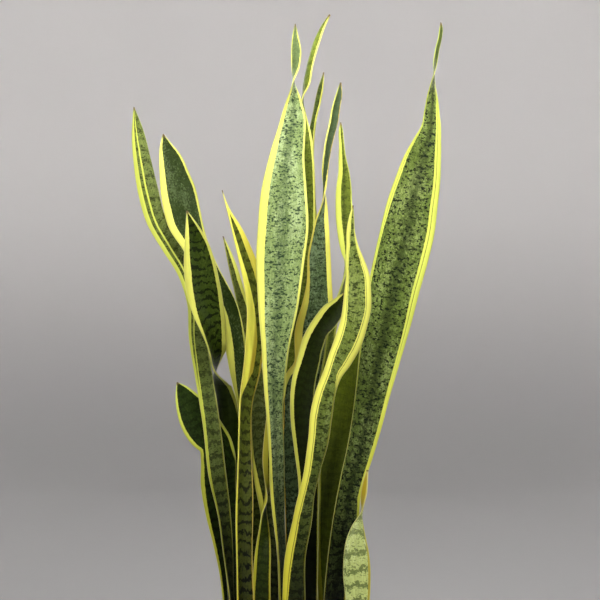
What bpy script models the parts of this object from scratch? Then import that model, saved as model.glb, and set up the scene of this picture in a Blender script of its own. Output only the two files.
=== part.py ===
"""Variegated snake plant in a plain round clay pot: one object for each leaf, the soil and the pot.

Run it with: blender --background --python part.py
Units are metres, +Z is up. The origin is the middle of the pot's flat bottom, and the plant faces -Y.
"""
import math
from collections import namedtuple

import bmesh
import bpy
import numpy as np

MM = 0.001

# Pot: a turned clay pot with a rim band, a flat bottom and drainage holes
POT_HEIGHT = 0.240
POT_TOP_RADIUS = 0.136
POT_BOTTOM_RADIUS = 0.092
POT_WALL = 0.009
POT_FLOOR = 0.010
BAND_HEIGHT = 0.034
BAND_STEP = 0.005
EDGE_ROUND = 0.003
TURNED_STEPS = 48
DRAIN_HOLES = 4
DRAIN_RADIUS = 0.006
DRAIN_CIRCLE = 0.050

# Soil: fills the pot to a little below the rim, with one plain hole for each leaf
SOIL_LEVEL = 0.213
SOIL_CROWN = 0.005
SEAT_GAP = 0.0003
HOLE_GAP = 0.0004

# Leaf blades: thin at the margins, thicker along the middle and towards the base
MARGIN_THICKNESS = 0.0011
MIDDLE_THICKNESS = 0.0030
BASE_THICKNESS = 0.0060
BASE_STRETCH = 0.30
TIP_STRETCH = 0.10
BASE_CHANNEL = 1.6
MIN_WIDTH = 0.0014
ACROSS = (-1.0, -0.55, 0.0, 0.55, 1.0)
ROW_STEP = 0.042
RIPPLE = 0.0012
RIPPLE_LENGTH = 0.155

# The leaves' heights and sideways places are drawn on the upright plane through the pot's axis, as seen
# from this place. A leaf in front of that plane or behind it is carried along the line of sight.
EYE_SIDE = 0.004
EYE_HEIGHT = 0.755
EYE_DISTANCE = 2.300

# Greens of the blades, from the shaded leaves to the pale one
GREENS = {
    "dark": (0.030, 0.070, 0.018),
    "mid": (0.075, 0.150, 0.045),
    "sage": (0.150, 0.240, 0.100),
    "pale": (0.260, 0.380, 0.150),
}

# One blade: how deep its channel is for its width, its green, and its stations from the base to the tip.
# A station is height, place to the side, width and depth behind the pot's axis in millimetres, with the
# blade's turn about its own middle line in degrees as its fourth value.
Leaf = namedtuple("Leaf", "cup tone stations")
LEAVES = {
    "leaf_left_outer": Leaf(cup=0.12, tone="mid", stations=(
        (166, -75, 21, 60, -12), (216, -78, 22, 62, -12), (294, -83, 22, 70, -12), (365, -86, 22, 74, -12),
        (422, -90, 23, 62, -11), (469, -95, 23, 52, -8), (530, -104, 24, 12, -4), (586, -110, 23, 0, 0),
        (656, -121, 23, 0, 8), (706, -129, 23, 0, 12), (755, -131, 25, 0, 16), (794, -143, 27, 0, 20),
        (826, -163, 27, 0, 24), (859, -183, 26, 0, 28), (895, -193, 27, 0, 32), (936, -201, 23, 0, 36),
        (975, -207, 15, 0, 40), (1006, -212, 1, 0, 42),
    )),
    "leaf_left_broad": Leaf(cup=0.12, tone="mid", stations=(
        (166, -52, 22, 0, 10), (216, -52, 22, 5, 10), (294, -58, 22, 25, 12), (365, -66, 23, 42, 14),
        (495, -68, 25, 50, 16), (573, -69, 26, 52, 17), (612, -70, 26, 50, 17), (651, -75, 26, 35, 15),
        (690, -79, 27, 10, 10), (742, -89, 27, 0, 4), (798, -118, 29, 0, 0), (829, -133, 35, 0, 0),
        (859, -146, 46, 0, 2), (876, -150, 47, 0, 3), (895, -154, 46, 0, 5), (916, -159, 39, 0, 7),
        (936, -164, 31, 0, 9), (954, -170, 18, 0, 11), (971, -174, 1, 0, 12),
    )),
    "leaf_left_dark": Leaf(cup=0.24, tone="dark", stations=(
        (166, -66, 22, 180, 28), (216, -67, 22, 180, 28), (365, -75, 23, 180, 29), (495, -82, 29, 180, 27),
        (547, -85, 29, 178, 27), (586, -88, 29, 172, 26), (612, -91, 29, 160, 24), (632, -96, 32, 143, 21),
        (647, -101, 36, 133, 16), (658, -102, 39, 110, 9), (667, -104, 39, 90, 2), (677, -106, 38, 72, -6),
        (690, -107, 36, 58, -12), (710, -110, 39, 43, -18), (746, -117, 43, 12, -24),
        (774, -122, 45, 0, -28), (806, -127, 40, 0, -30), (825, -130, 33, 0, -31), (845, -135, 21, 0, -32),
        (871, -143, 1, 0, -33),
    )),
    "leaf_crescent": Leaf(cup=0.20, tone="mid", stations=(
        (166, -60, 23, 10, -50), (216, -60, 23, 10, -50), (365, -69, 26, 35, -48), (469, -70, 27, 38, -46),
        (573, -70, 30, 55, -45), (628, -68, 32, 62, -44), (664, -62, 35, 55, -40), (703, -57, 36, 45, -36),
        (742, -55, 36, 45, -32), (781, -60, 32, 45, -32), (820, -71, 25, 45, -36), (850, -81, 16, 42, -42),
        (871, -89, 7, 40, -46), (898, -97, 1, 40, -50),
    )),
    "leaf_slim_dark": Leaf(cup=0.12, tone="dark", stations=(
        (166, -40, 22, 0, 28), (216, -40, 22, 0, 28), (365, -36, 27, 0, 32), (481, -36, 24, 0, 34),
        (521, -42, 27, 0, 34), (547, -44, 29, 0, 34), (582, -46, 29, 0, 34), (617, -50, 27, 0, 34),
        (690, -60, 21, 0, 30), (751, -71, 15, 0, 28), (771, -76, 13, 0, 28), (790, -81, 12, 0, 28),
        (814, -88, 8, 0, 28), (838, -96, 1, 0, 28),
    )),
    "leaf_left_low": Leaf(cup=0.10, tone="dark", stations=(
        (166, -77, 22, 20, 14), (216, -77, 22, 18, 14), (300, -81, 23, 0, 16), (365, -84, 25, 0, 18),
        (401, -87, 28, 0, 18), (442, -92, 35, 0, 17), (481, -98, 42, 0, 16), (516, -102, 46, 0, 15),
        (547, -102, 46, 0, 15), (568, -106, 44, 0, 15), (586, -120, 49, 0, 14), (606, -132, 46, 0, 13),
        (625, -143, 32, 0, 12), (638, -150, 18, 0, 12), (648, -156, 1, 0, 12),
    )),
    "leaf_tall_centre": Leaf(cup=0.08, tone="sage", stations=(
        (166, -17, 22, 20, -20), (216, -17, 22, 25, -20), (365, -18, 22, 55, -22), (431, -21, 23, 55, -25),
        (505, -26, 26, 50, -29), (565, -28, 29, 45, -34), (625, -30, 31, 40, -39), (685, -29, 36, 20, -44),
        (755, -24, 54, 0, -48), (815, -21, 64, 0, -47), (846, -18, 66, 0, -45), (888, -17, 61, 0, -40),
        (940, -13, 46, 0, -30), (989, -5, 33, 0, -20), (1018, -4, 21, 35, -14), (1042, -4, 16, 90, -9),
        (1059, -2, 14, 135, -6), (1080, -1, 14, 155, -4), (1097, -2, 9, 160, -2), (1114, -2, 1, 170, 0),
    )),
    "leaf_back_hooked": Leaf(cup=0.10, tone="dark", stations=(
        (166, -30, 23, -18, 46), (216, -31, 23, -16, 46), (365, -42, 30, 0, 47), (495, -42, 34, 0, 48),
        (573, -38, 34, 0, 48), (625, -27, 32, 0, 46), (755, 0, 34, 0, 40), (859, 7, 34, 0, 34),
        (925, 6, 34, 0, 31), (976, 3, 31, 20, 30), (999, 6, 21, 55, 31), (1018, 8, 16, 90, 33),
        (1034, 12, 16, 127, 36), (1057, 16, 13, 140, 41), (1077, 21, 12, 145, 47), (1093, 26, 10, 150, 52),
        (1109, 33, 6, 150, 57), (1126, 43, 1, 150, 62),
    )),
    "leaf_back_slim": Leaf(cup=0.12, tone="mid", stations=(
        (166, 8, 21, 20, 40), (216, 8, 21, 18, 40), (365, 8, 23, 0, 42), (560, 12, 29, 0, 50),
        (690, 16, 29, 0, 56), (820, 16, 26, 0, 60), (911, 14, 18, 0, 62), (964, 18, 10, 0, 63),
        (993, 23, 7, 0, 64), (1011, 27, 8, 0, 65), (1031, 31, 7, 0, 66), (1051, 35, 1, 0, 68),
    )),
    "leaf_back_right": Leaf(cup=0.12, tone="mid", stations=(
        (166, -3, 23, -10, 14), (216, -3, 23, -8, 14), (365, -1, 26, 0, 14), (495, 1, 34, 0, 14),
        (560, 1, 39, 0, 15), (625, 8, 51, 0, 16), (644, 9, 55, 0, 17), (665, 17, 46, 0, 17),
        (716, 21, 47, 0, 18), (750, 27, 40, 0, 16), (778, 29, 33, 0, 14), (812, 29, 30, 0, 12),
        (840, 31, 23, 0, 11), (858, 32, 18, 20, 12), (881, 35, 13, 60, 13), (898, 36, 12, 90, 15),
        (921, 36, 12, 122, 18), (940, 38, 13, 130, 21), (964, 42, 15, 140, 25), (986, 47, 16, 145, 29),
        (1005, 50, 14, 148, 32), (1022, 54, 10, 150, 35), (1038, 57, 1, 150, 38),
    )),
    "leaf_right_inner": Leaf(cup=0.12, tone="mid", stations=(
        (166, 17, 22, -12, -4), (216, 18, 22, -12, -4), (365, 16, 23, 0, -4), (495, 15, 21, 0, -4),
        (560, 24, 22, 0, -3), (625, 34, 22, 0, -2), (672, 41, 17, 10, -2), (717, 45, 16, 38, 0),
        (748, 53, 20, 55, 3), (771, 60, 22, 70, 5), (794, 64, 22, 90, 7), (819, 66, 23, 30, 9),
        (840, 64, 23, 5, 10), (862, 62, 23, 0, 12), (878, 61, 22, 0, 14), (901, 61, 20, 0, 17),
        (920, 61, 15, 0, 19), (940, 59, 10, 0, 21), (959, 58, 7, 0, 24), (975, 57, 6, 0, 26),
        (986, 57, 1, 0, 28),
    )),
    "leaf_front_curved": Leaf(cup=-0.08, tone="mid", stations=(
        (166, 0, 26, 0, -50), (216, 0, 26, 0, -50), (365, -4, 30, 0, -50), (422, -2, 27, 0, -51),
        (468, 7, 25, 0, -53), (498, 12, 23, 20, -54), (528, 19, 23, 20, -55), (573, 28, 27, 0, -57),
        (607, 32, 29, 0, -58), (637, 38, 26, 0, -59), (658, 46, 25, 0, -60), (678, 56, 32, 0, -61),
        (699, 66, 36, 0, -63), (724, 74, 36, 0, -66), (745, 78, 37, 0, -69), (765, 79, 35, 0, -72),
        (786, 79, 31, 0, -74), (807, 75, 24, 0, -77), (825, 72, 16, 0, -80), (845, 70, 11, 0, -82),
        (862, 71, 7, 0, -84), (878, 73, 1, 0, -86),
    )),
    "leaf_arched": Leaf(cup=0.14, tone="dark", stations=(
        (166, 9, 22, 0, -25), (216, 10, 22, 0, -25), (365, 14, 25, 0, -25), (469, 15, 26, 0, -24),
        (521, 15, 27, 0, -24), (561, 11, 29, 0, -23), (606, 7, 31, 0, -22), (633, 7, 31, 0, -22),
        (656, 10, 31, 0, -22), (676, 15, 30, 0, -22), (690, 18, 29, 0, -22), (703, 22, 29, 0, -23),
        (716, 28, 27, 0, -24), (729, 38, 29, 0, -25), (741, 47, 27, 0, -26), (752, 54, 16, 0, -27),
        (765, 62, 1, 0, -28),
    )),
    "leaf_shaded": Leaf(cup=0.10, tone="mid", stations=(
        (166, 36, 22, -15, 12), (216, 38, 22, -14, 12), (365, 41, 27, 0, 12), (430, 40, 31, 0, 11),
        (495, 42, 34, 0, 10), (528, 44, 36, 0, 9), (573, 51, 38, 0, 9), (625, 60, 35, 0, 8),
        (651, 66, 30, 0, 8), (670, 72, 20, 0, 8), (690, 77, 10, 0, 8), (710, 79, 1, 0, 8),
    )),
    "leaf_tall_right": Leaf(cup=0.10, tone="mid", stations=(
        (166, 44, 25, 12, -14), (216, 46, 25, 10, -14), (365, 49, 29, 0, -14), (418, 56, 33, 0, -14),
        (459, 62, 34, 0, -14), (481, 65, 33, 0, -14), (498, 67, 31, 0, -14), (528, 74, 33, 0, -14),
        (557, 82, 36, 0, -13), (591, 90, 40, 0, -12), (637, 99, 46, 0, -11), (678, 107, 54, 0, -10),
        (737, 119, 64, 0, -8), (771, 126, 67, 0, -6), (816, 137, 70, 0, -3), (846, 144, 70, 0, 0),
        (878, 150, 66, 0, 4), (904, 156, 60, 0, 7), (932, 162, 51, 0, 11), (958, 169, 38, 0, 14),
        (977, 174, 27, 0, 17), (1001, 175, 21, 12, 20), (1023, 176, 19, 40, 23), (1036, 177, 16, 60, 25),
        (1049, 179, 14, 88, 27), (1064, 180, 12, 119, 30), (1080, 182, 11, 128, 32),
        (1098, 186, 9, 130, 34), (1109, 187, 7, 130, 35), (1116, 187, 1, 130, 36),
    )),
    "leaf_low_right": Leaf(cup=-0.10, tone="pale", stations=(
        (166, 62, 23, -22, -28), (216, 66, 23, -20, -28), (300, 73, 27, 0, -32), (365, 79, 32, 0, -35),
        (399, 78, 36, 0, -36), (422, 78, 34, 10, -36), (442, 78, 29, 25, -36), (462, 80, 20, 45, -35),
        (481, 84, 13, 90, -34), (502, 87, 13, 118, -32), (517, 89, 9, 125, -31), (534, 92, 1, 125, -30),
    )),
    "leaf_inner_left": Leaf(cup=0.12, tone="mid", stations=(
        (166, -49, 22, 0, -30), (216, -48, 22, 0, -31), (365, -47, 25, 8, -31), (401, -46, 23, 15, -31),
        (431, -45, 23, 32, -30), (456, -44, 22, 50, -28), (478, -43, 20, 68, -25), (495, -40, 17, 90, -22),
        (518, -38, 17, 60, -19), (547, -37, 18, 30, -16), (576, -36, 15, 20, -12), (612, -34, 10, 10, -8),
        (651, -32, 5, 5, -4), (674, -31, 1, 5, -2),
    )),
}


def clear_scene():
    """Remove whatever objects the open scene holds."""
    for item in list(bpy.data.objects):
        bpy.data.objects.remove(item, do_unlink=True)


def make_collection(name):
    """A new collection under the scene's own."""
    group = bpy.data.collections.new(name)
    bpy.context.scene.collection.children.link(group)
    return group


def make_material(name, colour, roughness):
    """A plain Principled material."""
    material = bpy.data.materials.new(name)
    material.use_nodes = True
    shader = material.node_tree.nodes["Principled BSDF"]
    shader.inputs["Base Color"].default_value = (*colour, 1.0)
    shader.inputs["Roughness"].default_value = roughness
    shader.inputs["Metallic"].default_value = 0.0
    material.diffuse_color = (*colour, 1.0)
    return material


def add_object(name, bm, group, material=None):
    """Turn a bmesh into a smooth shaded object in a collection."""
    mesh = bpy.data.meshes.new(name)
    bm.to_mesh(mesh)
    bm.free()
    mesh.shade_smooth()
    mesh.set_sharp_from_angle(angle=math.radians(40))
    item = bpy.data.objects.new(name, mesh)
    group.objects.link(item)
    if material:
        mesh.materials.append(material)
    return item


def mark_as_cutter(item):
    """A cutter shows as a wire and is never rendered."""
    item.display_type = "WIRE"
    item.hide_render = True


def add_screw(item):
    """Turn a profile in the XZ plane about Z into a closed body."""
    screw = item.modifiers.new("Turned", "SCREW")
    screw.axis = "Z"
    screw.steps = TURNED_STEPS
    screw.render_steps = TURNED_STEPS
    screw.use_merge_vertices = True
    screw.merge_threshold = 0.00005
    screw.use_smooth_shade = True


def add_cut(item, cutters):
    """Cut every object of a collection out of an item."""
    cut = item.modifiers.new("Holes", "BOOLEAN")
    cut.operation = "DIFFERENCE"
    cut.solver = "EXACT"
    cut.operand_type = "COLLECTION"
    cut.collection = cutters


def profile_object(name, points, group, material):
    """An object whose mesh is an open line of points, given as radius and height."""
    bm = bmesh.new()
    verts = [bm.verts.new((radius, 0.0, height)) for radius, height in points]
    for lower, upper in zip(verts, verts[1:]):
        bm.edges.new((lower, upper))
    return add_object(name, bm, group, material)


def corner(radius, height, start, turn, size=EDGE_ROUND, points=3):
    """Points of a rounded corner about a centre, from a start angle through a turn, in degrees."""
    angles = [math.radians(start + turn * i / (points - 1)) for i in range(points)]
    return [(radius + size * math.cos(a), height + size * math.sin(a)) for a in angles]


def outer_radius(height):
    """The pot's tapered outer side, without its band."""
    top = POT_TOP_RADIUS - BAND_STEP
    return POT_BOTTOM_RADIUS + (top - POT_BOTTOM_RADIUS) * height / POT_HEIGHT


def inner_radius(height):
    """The pot's tapered inner side."""
    return outer_radius(height) - POT_WALL


def pot_profile():
    """Inner floor, inner side, rounded rim, band, tapered side and flat bottom, in that order."""
    r = EDGE_ROUND
    band_foot = POT_HEIGHT - BAND_HEIGHT
    points = [(0.0, POT_FLOOR), (inner_radius(POT_FLOOR), POT_FLOOR)]
    points += corner(inner_radius(POT_HEIGHT) + r, POT_HEIGHT - r, 180, -90)
    points += corner(POT_TOP_RADIUS - r, POT_HEIGHT - r, 90, -90)
    points += corner(POT_TOP_RADIUS - r, band_foot + r, 0, -90)
    points += [(outer_radius(band_foot), band_foot)]
    points += corner(POT_BOTTOM_RADIUS - r, r, 0, -90)
    points += [(0.0, 0.0)]
    return points


def make_pot(group, cutters):
    """The clay pot with drainage holes set off its middle."""
    pot = profile_object("pot", pot_profile(), group, make_material("clay", (0.46, 0.20, 0.11), 0.85))
    add_screw(pot)
    for number in range(DRAIN_HOLES):
        angle = 2 * math.pi * (number + 0.5) / DRAIN_HOLES
        bm = bmesh.new()
        bmesh.ops.create_cone(
            bm, cap_ends=True, segments=16, radius1=DRAIN_RADIUS, radius2=DRAIN_RADIUS, depth=POT_FLOOR * 3
        )
        drill = add_object(f"drain_{number + 1}", bm, cutters)
        drill.location = (DRAIN_CIRCLE * math.cos(angle), DRAIN_CIRCLE * math.sin(angle), POT_FLOOR / 2)
        mark_as_cutter(drill)
    add_cut(pot, cutters)
    return pot


def make_soil(group, cutters):
    """The soil body, crowned a little in the middle, with the leaves' holes cut out of it."""
    side = inner_radius(SOIL_LEVEL) - SEAT_GAP
    foot = POT_FLOOR + SEAT_GAP
    points = [
        (0.0, SOIL_LEVEL + SOIL_CROWN),
        (side * 0.60, SOIL_LEVEL + SOIL_CROWN * 0.75),
        (side * 0.90, SOIL_LEVEL),
        (side, SOIL_LEVEL),
        (inner_radius(foot) - SEAT_GAP, foot),
        (0.0, foot),
    ]
    soil = profile_object("soil", points, group, make_material("soil", (0.060, 0.042, 0.030), 0.95))
    add_screw(soil)
    add_cut(soil, cutters)
    return soil


def place_stations(stations):
    """The stations' middle points in space, and their widths and turns."""
    height, side, width, turn, depth = np.array(stations, dtype=float).T
    height, side, width, depth = (values * MM for values in (height, side, width, depth))
    reach = 1 + depth / EYE_DISTANCE
    points = np.stack([
        EYE_SIDE + (side - EYE_SIDE) * reach,
        depth,
        EYE_HEIGHT + (height - EYE_HEIGHT) * reach,
    ], axis=1)
    return points, width * reach, np.radians(turn)


def smooth_curve(knots, values, at):
    """Read values on a smooth curve that passes through the stations."""
    slopes = np.gradient(values, knots, axis=0)
    low = np.clip(np.searchsorted(knots, at, side="right") - 1, 0, len(knots) - 2)
    step = (knots[low + 1] - knots[low])[:, None]
    t = (at - knots[low])[:, None] / step
    start, end = values[low], values[low + 1]
    return (
        start * (1 + 2 * t) * (1 - t) ** 2 + slopes[low] * step * t * (1 - t) ** 2
        + end * t * t * (3 - 2 * t) - slopes[low + 1] * step * t * t * (1 - t)
    )


def row_places(knots):
    """Distances along a blade at which it has a row of points: every station, and points between them."""
    places = []
    for start, end in zip(knots, knots[1:]):
        count = max(1, math.ceil((end - start) / ROW_STEP))
        places += [start + (end - start) * i / count for i in range(count)]
    return np.array(places + [knots[-1]])


def unit(vectors):
    """Vectors scaled to length 1."""
    return vectors / np.linalg.norm(vectors, axis=1)[:, None]


def blade_rows(leaf):
    """Distance, middle point, across and face directions and width of each row, from base to tip."""
    points, widths, turns = place_stations(leaf.stations)
    steps = np.linalg.norm(np.diff(points, axis=0), axis=1)
    knots = np.concatenate([[0.0], np.cumsum(steps)])
    at = row_places(knots)
    table = smooth_curve(knots, np.column_stack([points, widths, turns]), at)
    middle, width, turn = table[:, :3], np.maximum(table[:, 3], MIN_WIDTH), table[:, 4]
    along = unit(np.gradient(middle, at, axis=0))
    level = np.array([1.0, 0.0, 0.0])
    side = unit(level - along * (along @ level)[:, None])
    back = np.cross(along, side)
    across = side * np.cos(turn)[:, None] + back * np.sin(turn)[:, None]
    face = np.cross(across, along)
    return at, middle, across, face, width


def blade_thickness(place, u):
    """A blade's thickness at a share of its length, and a place across it from -1 to 1."""
    thick = MIDDLE_THICKNESS
    if place < BASE_STRETCH:
        thick += (BASE_THICKNESS - MIDDLE_THICKNESS) * (1 - place / BASE_STRETCH)
    if place > 1 - TIP_STRETCH:
        thick += (MARGIN_THICKNESS - MIDDLE_THICKNESS) * (place - 1 + TIP_STRETCH) / TIP_STRETCH
    return MARGIN_THICKNESS + (thick - MARGIN_THICKNESS) * (1 - u * u)


def blade_channel(cup, place):
    """A blade's hollow for its width, deeper towards the base, where it clasps the shoot."""
    return cup * (1 + BASE_CHANNEL * max(0.0, 1 - place / BASE_STRETCH))


def edge_ripple(distance, u, phase):
    """How far a margin waves out of the blade's face, growing from nothing at the base."""
    growth = min(1.0, distance / (2 * RIPPLE_LENGTH))
    wave = math.sin(2 * math.pi * distance / RIPPLE_LENGTH + phase + 2.1 * (u > 0))
    return RIPPLE * growth * u * u * wave


def make_blade(name, leaf, phase, group, material=None, grow=0.0, top=None):
    """A blade: a sheet shaped row by row, then given its thickness.

    A cutter for the blade's hole grows on every side and stops a little above the soil.
    """
    at, middle, across, face, width = blade_rows(leaf)
    rows = len(at)
    if top is not None:
        rows = int(np.searchsorted(middle[:, 2], top)) + 1
    bm = bmesh.new()
    bmesh.ops.create_grid(bm, x_segments=len(ACROSS) - 1, y_segments=rows - 1, size=1.0)
    thickness = []
    for vert in bm.verts:
        u = ACROSS[round((vert.co.x + 1) / 2 * (len(ACROSS) - 1))]
        row = round((vert.co.y + 1) / 2 * (rows - 1))
        hollow = blade_channel(leaf.cup, at[row] / at[-1])
        slant = 4 * hollow * u
        channel = hollow * width[row] * (u * u - 0.4) + edge_ripple(at[row], u, phase) + grow * u * slant
        reach = (width[row] / 2 + grow) * u
        place = middle[row] + across[row] * reach + face[row] * channel
        if row == 0:
            place[2] -= grow
        vert.co = place
        thickness.append(blade_thickness(at[row] / at[-1], u) + 2 * grow)
    bmesh.ops.triangulate(bm, faces=bm.faces[:])
    blade = add_object(name, bm, group, material)
    thickest = max(thickness)
    share = blade.vertex_groups.new(name="thickness")
    for index, value in enumerate(thickness):
        share.add([index], value / thickest, "REPLACE")
    solid = blade.modifiers.new("Blade thickness", "SOLIDIFY")
    solid.thickness = thickest
    solid.offset = 0.0
    solid.vertex_group = share.name
    return blade


def main():
    """Build the plant in its pot."""
    clear_scene()
    plant = make_collection("Variegated snake plant")
    drills = make_collection("Drainage cutters")
    sockets = make_collection("Leaf hole cutters")
    for number, (name, leaf) in enumerate(LEAVES.items()):
        phase = 1.7 * number
        make_blade(name, leaf, phase, plant, make_material(name, GREENS[leaf.tone], 0.42))
        socket = make_blade(
            f"hole_{name}", leaf, phase, sockets, grow=HOLE_GAP, top=SOIL_LEVEL + 4 * SOIL_CROWN
        )
        mark_as_cutter(socket)
    make_soil(plant, sockets)
    make_pot(plant, drills)


main()
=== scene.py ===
"""Looks of a variegated snake plant in a plain round clay pot: its leaves, potting mix, pot and a studio.

Laid out as a Blender add-on, and run as a script. Units are metres, +Z is up, the plant faces -Y.
"""
import math
import random
from collections import namedtuple

import bmesh
import bpy
import numpy as np
from bpy.props import FloatProperty, FloatVectorProperty, IntProperty, PointerProperty, StringProperty
from mathutils import Euler, Matrix, Vector, noise


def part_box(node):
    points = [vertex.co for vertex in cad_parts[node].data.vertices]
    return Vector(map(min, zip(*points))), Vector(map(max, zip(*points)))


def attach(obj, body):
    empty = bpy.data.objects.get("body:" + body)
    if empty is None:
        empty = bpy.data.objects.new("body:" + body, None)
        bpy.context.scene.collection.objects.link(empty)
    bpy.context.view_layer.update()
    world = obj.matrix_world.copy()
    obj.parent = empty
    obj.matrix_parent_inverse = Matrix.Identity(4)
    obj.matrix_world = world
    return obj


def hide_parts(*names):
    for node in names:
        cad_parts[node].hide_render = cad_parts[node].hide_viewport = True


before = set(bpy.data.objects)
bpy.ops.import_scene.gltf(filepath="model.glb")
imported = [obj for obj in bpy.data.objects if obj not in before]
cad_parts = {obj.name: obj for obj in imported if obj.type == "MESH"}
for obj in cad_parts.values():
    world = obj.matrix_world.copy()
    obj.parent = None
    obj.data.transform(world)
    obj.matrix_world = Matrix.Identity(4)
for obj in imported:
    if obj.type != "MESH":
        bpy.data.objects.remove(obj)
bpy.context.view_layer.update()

bl_info = {
    "name": "Potted snake plant",
    "version": (1, 0, 0),
    "blender": (4, 5, 0),
    "location": "3D View > Sidebar > Plant",
    "description": "Builds the leaves, soil, pot and studio of a variegated snake plant",
    "category": "Object",
}

MM = 0.001

# The same driving sizes as the plant's solids have
MARGIN_THICKNESS = 0.0011
MIDDLE_THICKNESS = 0.0030
BASE_THICKNESS = 0.0060
BASE_STRETCH = 0.30
TIP_STRETCH = 0.10
BASE_CHANNEL = 1.6
MIN_WIDTH = 0.0014
RIPPLE = 0.0012
RIPPLE_LENGTH = 0.155
PHASE_STEP = 1.7
EYE_SIDE = 0.004
EYE_HEIGHT = 0.755
EYE_DISTANCE = 2.300
VIEW_WIDTH = 0.780

# The potting mix: its level and crown, its foot's radius, and where the blades come out of it
SOIL_LEVEL = 0.213
SOIL_CROWN = 0.005
SOIL_FOOT = 0.0843
SOIL_TOP = 0.216
RIM_CLEARANCE = 0.008
LEAF_CLEARANCE = 0.007
COARSE_STEP = 0.02
SEED_STEP = 1.37

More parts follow.
